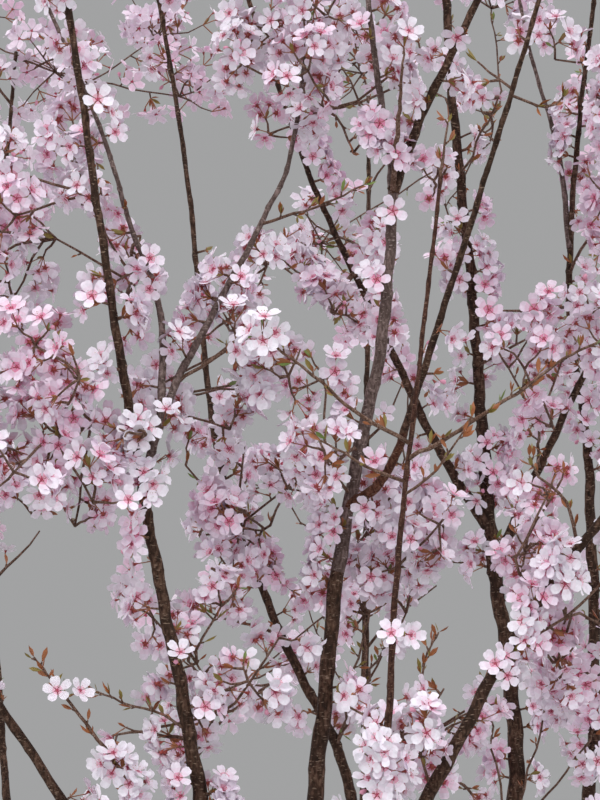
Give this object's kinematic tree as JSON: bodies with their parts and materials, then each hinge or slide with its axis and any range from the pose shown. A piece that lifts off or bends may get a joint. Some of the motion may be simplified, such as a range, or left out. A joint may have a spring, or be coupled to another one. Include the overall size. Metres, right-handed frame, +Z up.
{
  "type": "cherry blossom tree",
  "caption": "Young ornamental cherry tree in full blossom, with a slim trunk, upright forking boughs and an open crown of pale pink flowers.",
  "frame": {"origin": "middle of the flat cut under the trunk, at ground level", "axes": "+Z up along the trunk, +Y to the back, away from the side the crown is open to, +X to the right seen from the front"},
  "size_m": [2.2138, 1.7689, 3.2788],
  "materials": {
    "bark": "rough",
    "blossom": "soft"
  },
  "bodies": {
    "root": {"trunk": "bark", "centre_bough": "bark", "left_bough": "bark", "right_bough": "bark", "far_right_bough": "bark", "crossing_bough": "bark", "outer_left_bough": "bark", "leaning_bough": "bark", "centre_fork": "bark", "centre_left_top": "bark", "centre_right_top": "bark", "right_inner_limb": "bark", "right_outer_limb": "bark", "left_inner_limb": "bark", "left_upper_limb": "bark", "front_shoot": "bark", "bare_limb": "bark", "rear_left_bough": "bark", "rear_left_limb": "bark", "rear_bough": "bark", "rear_right_bough": "bark", "rear_right_limb": "bark", "front_left_bough": "bark", "front_right_bough": "bark", "left_outer_blossom": "blossom", "left_upper_blossom": "blossom", "left_inner_blossom": "blossom", "centre_left_blossom": "blossom", "low_left_blossom": "blossom", "centre_blossom": "blossom", "centre_low_blossom": "blossom", "upper_blossom": "blossom", "inner_upper_blossom": "blossom", "right_upper_blossom": "blossom", "far_right_blossom": "blossom", "right_blossom": "blossom", "right_low_blossom": "blossom", "low_centre_blossom": "blossom", "low_right_blossom": "blossom", "top_left_blossom": "blossom", "top_centre_blossom": "blossom", "top_right_blossom": "blossom", "top_front_blossom": "blossom", "top_rear_blossom": "blossom", "top_far_right_blossom": "blossom", "top_rear_left_blossom": "blossom", "high_left_blossom": "blossom", "high_inner_blossom": "blossom", "outer_left_blossom": "blossom", "left_low_outer_blossom": "blossom", "outer_right_blossom": "blossom", "right_outer_blossom": "blossom", "front_left_blossom": "blossom", "front_right_blossom": "blossom", "rear_left_blossom": "blossom", "rear_left_top_blossom": "blossom", "rear_blossom": "blossom", "rear_right_blossom": "blossom", "rear_right_top_blossom": "blossom", "rear_low_blossom": "blossom"}
  },
  "joints": []
}
